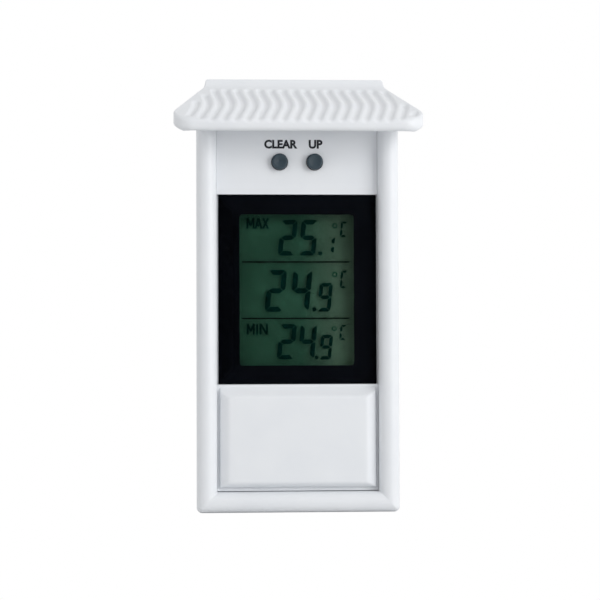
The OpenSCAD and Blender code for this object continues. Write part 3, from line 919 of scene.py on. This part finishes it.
def make_readout():
    """The display's dark segments, in the liquid layer between the two glasses."""
    glass = Box("lcd_front_glass")
    d0, d1 = glass.d0 + 0.01, glass.d0 + 0.05
    shapes = []
    for mark, x, z, w, h, s in READOUT:
        shapes += digit(mark, x, z, w, h, s, gap=0.9 if mark == "1" else 0.2)
    for x, z, size in POINTS:
        shapes += dot(x, z, size)
    for x, z, w, h in UNITS:
        shapes += unit_c(x, z, w, h, UNIT_STROKE)
    piece("readout_segments", flat_shapes(shapes, d0, d1), SEGMENT_INK)
    lines = []
    for z in ROW_LINES:
        low, high = z - ROW_HALF, z + ROW_HALF
        lines.append([(ROW_LEFT, low), (ROW_RIGHT, low), (ROW_RIGHT, high), (ROW_LEFT, high)])
    piece("readout_lines", flat_shapes(lines, d0, d1), PRINT_INK)
    faint = Shell()
    for x, z, r in DEGREES:
        faint.join(ring_shell(x, z, r, DEGREE_STROKE, d0, d1))
    piece("readout_degree_rings", faint, FAINT_INK)


PRINT_T = 0.03  # thickness of printed lettering
LABEL_Z, LABEL_H, LABEL_BOLD = 117.85, 2.9, 0.045


def make_word(name, word, x, width):
    """A panel label as a thin raised film, fitted to a width."""
    text = bpy.data.curves.new(name, "FONT")
    text.body = word
    text.resolution_u = 4
    text.offset = LABEL_BOLD
    holder = bpy.data.objects.new(name, text)
    bpy.context.scene.collection.objects.link(holder)
    flat = bpy.data.meshes.new_from_object(holder.evaluated_get(bpy.context.evaluated_depsgraph_get()))
    bpy.data.objects.remove(holder)
    xs = [v.co.x for v in flat.vertices]
    zs = [v.co.y for v in flat.vertices]
    wide, tall = max(xs) - min(xs), max(zs) - min(zs)
    shell = Shell()

    def fitted(v, depth):
        across = (v.co.x - min(xs)) * width / wide
        return spot(x + across, depth, LABEL_Z + (v.co.y - min(zs)) * LABEL_H / tall)

    back = shell.add([fitted(v, PANEL_D) for v in flat.vertices])
    front = shell.add([fitted(v, PANEL_D + PRINT_T) for v in flat.vertices])
    uses = {}
    for face in flat.polygons:
        ids = list(face.vertices)
        shell.faces.append(tuple(back[i] for i in ids))
        shell.faces.append(tuple(front[i] for i in reversed(ids)))
        for a, b in zip(ids, ids[1:] + ids[:1]):
            uses[frozenset((a, b))] = None if frozenset((a, b)) in uses else (a, b)
    for edge in uses.values():
        if edge:
            a, b = edge
            shell.faces.append((back[a], back[b], front[b], front[a]))
    bpy.data.meshes.remove(flat)
    return piece(name, shell, PRINT_INK)


STROKES = {
    "M": [((0, 0), (0, 1)), ((0, 1), (0.5, 0.3)), ((0.5, 0.3), (1, 1)), ((1, 1), (1, 0))],
    "A": [((0, 0), (0.5, 1)), ((0.5, 1), (1, 0)), ((0.2, 0.33), (0.8, 0.33))],
    "X": [((0, 0), (1, 1)), ((0, 1), (1, 0))],
    "I": [((0, 0), (0, 1))],
    "N": [((0, 0), (0, 1)), ((0, 1), (1, 0)), ((1, 0), (1, 1))],
}


SIGN_H, SIGN_STROKE = 3.5, 0.62
MAX_SIGN = (("M", -16.1, 2.0), ("A", -13.5, 2.0), ("X", -11.0, 1.7))  # letter, x, width
MIN_SIGN = (("M", -16.1, 2.0), ("I", -13.0, 0.0), ("N", -11.9, 2.1))


def stroke_shape(ax, az, bx, bz):
    """The outline of a straight stroke from a to b."""
    half = SIGN_STROKE / 2 / math.hypot(bx - ax, bz - az)
    nx, nz = (az - bz) * half, (bx - ax) * half
    return [(ax - nx, az - nz), (bx - nx, bz - nz), (bx + nx, bz + nz), (ax + nx, az + nz)]


def make_sign(name, letters, z):
    """A word of the display, drawn as straight strokes."""
    d = Box("lcd_front_glass").d0 + 0.01
    shapes = []
    for letter, x, width in letters:
        for (ax, az), (bx, bz) in STROKES[letter]:
            shapes.append(stroke_shape(x + ax * width, z + az * SIGN_H, x + bx * width, z + bz * SIGN_H))
    piece(name, flat_shapes(shapes, d, d + PRINT_T), SEGMENT_INK)


def make_words():
    make_word("label_clear", "CLEAR", -10.7, 10.8)
    make_word("label_up", "UP", 3.8, 4.5)
    make_sign("readout_max", MAX_SIGN, 92.1)
    make_sign("readout_min", MIN_SIGN, 57.4)


# ---- CAD nodes that stay ----

def dress_node(node, slot, edge):
    """A carried-over CAD solid gets its material, and its edges are rounded by edge millimetres."""
    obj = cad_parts[node]
    obj.data.materials.clear()
    obj.data.materials.append(MATERIALS[slot])
    if edge:
        weld = obj.modifiers.new("Joined corners", "WELD")
        weld.merge_threshold = 1e-6
        bevel = obj.modifiers.new("Rounded edges", "BEVEL")
        bevel.width = edge * MM
        bevel.segments = 3
        bevel.limit_method = "ANGLE"
        bevel.angle_limit = math.radians(32)
        bevel.use_clamp_overlap = True
        level = obj.modifiers.new("Even shading", "WEIGHTED_NORMAL")
        level.keep_sharp = True


KEPT = (
    # node, material slot, edge radius
    ("rear_cover", "white_plastic", 0.25), ("battery_door", "white_plastic", 0.15),
    ("window_tape", "tape_foam", 0.04), ("lcd_polariser", "polariser_film", 0),
    ("lcd_front_glass", "display_glass", 0), ("lcd_rear_glass", "display_glass", 0),
    ("lcd_reflector", "reflector_film", 0), ("lcd_holder", "holder_plastic", 0.12),
    ("contact_strips", "strip_rubber", 0.15), ("circuit_board", "board_green", 0.08),
    ("chip_cover", "epoxy_black", 0), ("clock_crystal", "can_steel", 0.15),
    ("board_parts", "chip_ceramic", 0.08), ("temperature_sensor", "sensor_epoxy", 0),
    ("clear_plunger", "plunger_plastic", 0.1), ("up_plunger", "plunger_plastic", 0.1),
    ("clear_switch", "switch_plastic", 0.08), ("up_switch", "switch_plastic", 0.08),
    ("switch_domes", "dome_steel", 0.04), ("battery_cell", "cell_sleeve", 0.3),
    ("positive_contact", "nickel", 0.08), ("negative_contact", "nickel", 0.08),
    ("battery_spring", "nickel", 0), ("red_wire", "red_insulation", 0),
    ("black_wire", "black_insulation", 0), ("case_screws", "screw_steel", 0.1),
    ("board_screws", "screw_steel", 0.08),
)


# ---- Studio ----

FRONT_GLOW = 0.825
SIDE_GLOW = 0.885
BACK_GLOW = 0.9
LOW_GLOW = 1.16
HIGH_GLOW = 0.73
FLOOR_TONE = 0.80
FLOOR_HALF, FLOOR_FRONT, FLOOR_BACK = 6, -1.2, 8
KEY_PLACE, KEY_TARGET, KEY_SIZE, KEY_WATTS = (0.95, -1.0, 0.38), (0, 0, 0.07), (0.9, 0.9), 9.6
CLEAR_LAYERS = 32  # see-through surfaces that a ray may cross in the display


def make_camera():
    """The photograph's view: slightly from the left and from below."""
    yaw, pitch, roll = math.radians(-3.2), math.radians(-1.8), math.radians(0.2)
    distance = 0.580
    focal_pixels, picture_pixels = 1727, 600
    aim = spot(1.85, 0, 69.15)
    back = Vector((math.sin(yaw) * math.cos(pitch), -math.cos(yaw) * math.cos(pitch), math.sin(pitch)))
    data = bpy.data.cameras.new("camera")
    camera = bpy.data.objects.new("camera", data)
    bpy.context.scene.collection.objects.link(camera)
    camera.rotation_mode = "QUATERNION"
    turn = Matrix.Rotation(roll, 4, -back)
    camera.rotation_quaternion = turn.to_quaternion() @ (-back).to_track_quat("-Z", "Y")
    camera.location = aim + back * distance
    data.sensor_width = 36
    data.lens = focal_pixels * data.sensor_width / picture_pixels
    bpy.context.scene.camera = camera


def area_light(name, place, target, size, watts):
    data = bpy.data.lights.new(name, "AREA")
    data.shape = "RECTANGLE"
    data.size, data.size_y = size
    data.energy = watts
    lamp = bpy.data.objects.new(name, data)
    bpy.context.scene.collection.objects.link(lamp)
    lamp.location = place
    lamp.rotation_mode = "QUATERNION"
    lamp.rotation_quaternion = (Vector(target) - Vector(place)).to_track_quat("-Z", "Y")


class StudioNodes:
    """Short calls for the studio's node trees, whose white backdrop is for the camera only."""

    def __init__(self, tree):
        self.tree = tree
        tree.nodes.clear()

    def node(self, kind):
        return self.tree.nodes.new("ShaderNode" + kind)

    def ramp(self, source, span, stops):
        """A grey ramp over a value that runs from span[0] to span[1]."""
        place = self.node("MapRange")
        place.inputs["From Min"].default_value, place.inputs["From Max"].default_value = span
        self.tree.links.new(source, place.inputs["Value"])
        tones = self.node("ValToRGB")
        while len(tones.color_ramp.elements) < len(stops):
            tones.color_ramp.elements.new(0.5)
        for element, (where, value) in zip(tones.color_ramp.elements, stops):
            element.position = where
            element.color = (value, value, value, 1)
        self.tree.links.new(place.outputs["Result"], tones.inputs["Fac"])
        return tones.outputs["Color"]

    def seen_white(self, shader, output):
        """The camera sees plain white; everything else is lit by the shader."""
        white = self.node("Background" if output == "OutputWorld" else "Emission")
        white.inputs["Color"].default_value = (1, 1, 1, 1)
        white.inputs["Strength"].default_value = 1.0
        ray = self.node("LightPath")
        mix = self.node("MixShader")
        out = self.node(output)
        self.tree.links.new(ray.outputs["Is Camera Ray"], mix.inputs["Fac"])
        self.tree.links.new(shader, mix.inputs[1])
        self.tree.links.new(white.outputs[0], mix.inputs[2])
        self.tree.links.new(mix.outputs["Shader"], out.inputs["Surface"])


def make_world():
    """Soft surroundings, brighter below, with a dark patch in front so that the window stays black."""
    world = bpy.data.worlds.new("studio")
    bpy.context.scene.world = world
    world.use_nodes = True
    studio = StudioNodes(world.node_tree)
    split = studio.node("SeparateXYZ")
    studio.tree.links.new(studio.node("TexCoord").outputs["Generated"], split.inputs["Vector"])
    depth_stops = ((0.0, 0.0), (0.02, 0.02), (0.07, FRONT_GLOW), (0.5, SIDE_GLOW), (0.9, BACK_GLOW))
    height_stops = ((0.0, LOW_GLOW), (0.45, LOW_GLOW), (1.0, HIGH_GLOW))
    front_to_back = studio.ramp(split.outputs["Y"], (-1.0, 1.0), depth_stops)
    down_to_up = studio.ramp(split.outputs["Z"], (-1.0, 1.0), height_stops)
    both = studio.node("Mix")
    both.data_type = "RGBA"
    both.blend_type = "MULTIPLY"
    both.inputs[0].default_value = 1.0
    studio.tree.links.new(front_to_back, both.inputs[6])
    studio.tree.links.new(down_to_up, both.inputs[7])
    glow = studio.node("Background")
    studio.tree.links.new(both.outputs[2], glow.inputs["Color"])
    studio.seen_white(glow.outputs["Background"], "OutputWorld")


def make_floor():
    """A wide pale floor at the object's base."""
    shell = Shell()
    corners = ((-FLOOR_HALF, FLOOR_FRONT), (FLOOR_HALF, FLOOR_FRONT), (FLOOR_HALF, FLOOR_BACK),
               (-FLOOR_HALF, FLOOR_BACK))
    shell.faces.append(tuple(shell.add([Vector((x, y, 0)) for x, y in corners])))
    floor = mesh_object("studio_floor", shell)
    material = bpy.data.materials.new("studio floor")
    material.use_nodes = True
    studio = StudioNodes(material.node_tree)
    matt = studio.node("BsdfDiffuse")
    matt.inputs["Color"].default_value = (FLOOR_TONE, FLOOR_TONE, FLOOR_TONE, 1)
    studio.seen_white(matt.outputs["BSDF"], "OutputMaterial")
    floor.data.materials.append(material)


def main():
    make_roof()
    make_frame()
    make_panel()
    make_button("clear_button", True)
    make_button("up_button", False)
    make_window()
    make_readout()
    make_words()
    for node, slot, edge in KEPT:
        dress_node(node, slot, edge)
    make_camera()
    make_world()
    make_floor()
    area_light("key", KEY_PLACE, KEY_TARGET, KEY_SIZE, KEY_WATTS)
    bpy.context.scene.view_settings.view_transform = "Standard"
    bpy.context.scene.cycles.transparent_max_bounces = CLEAR_LAYERS


main()
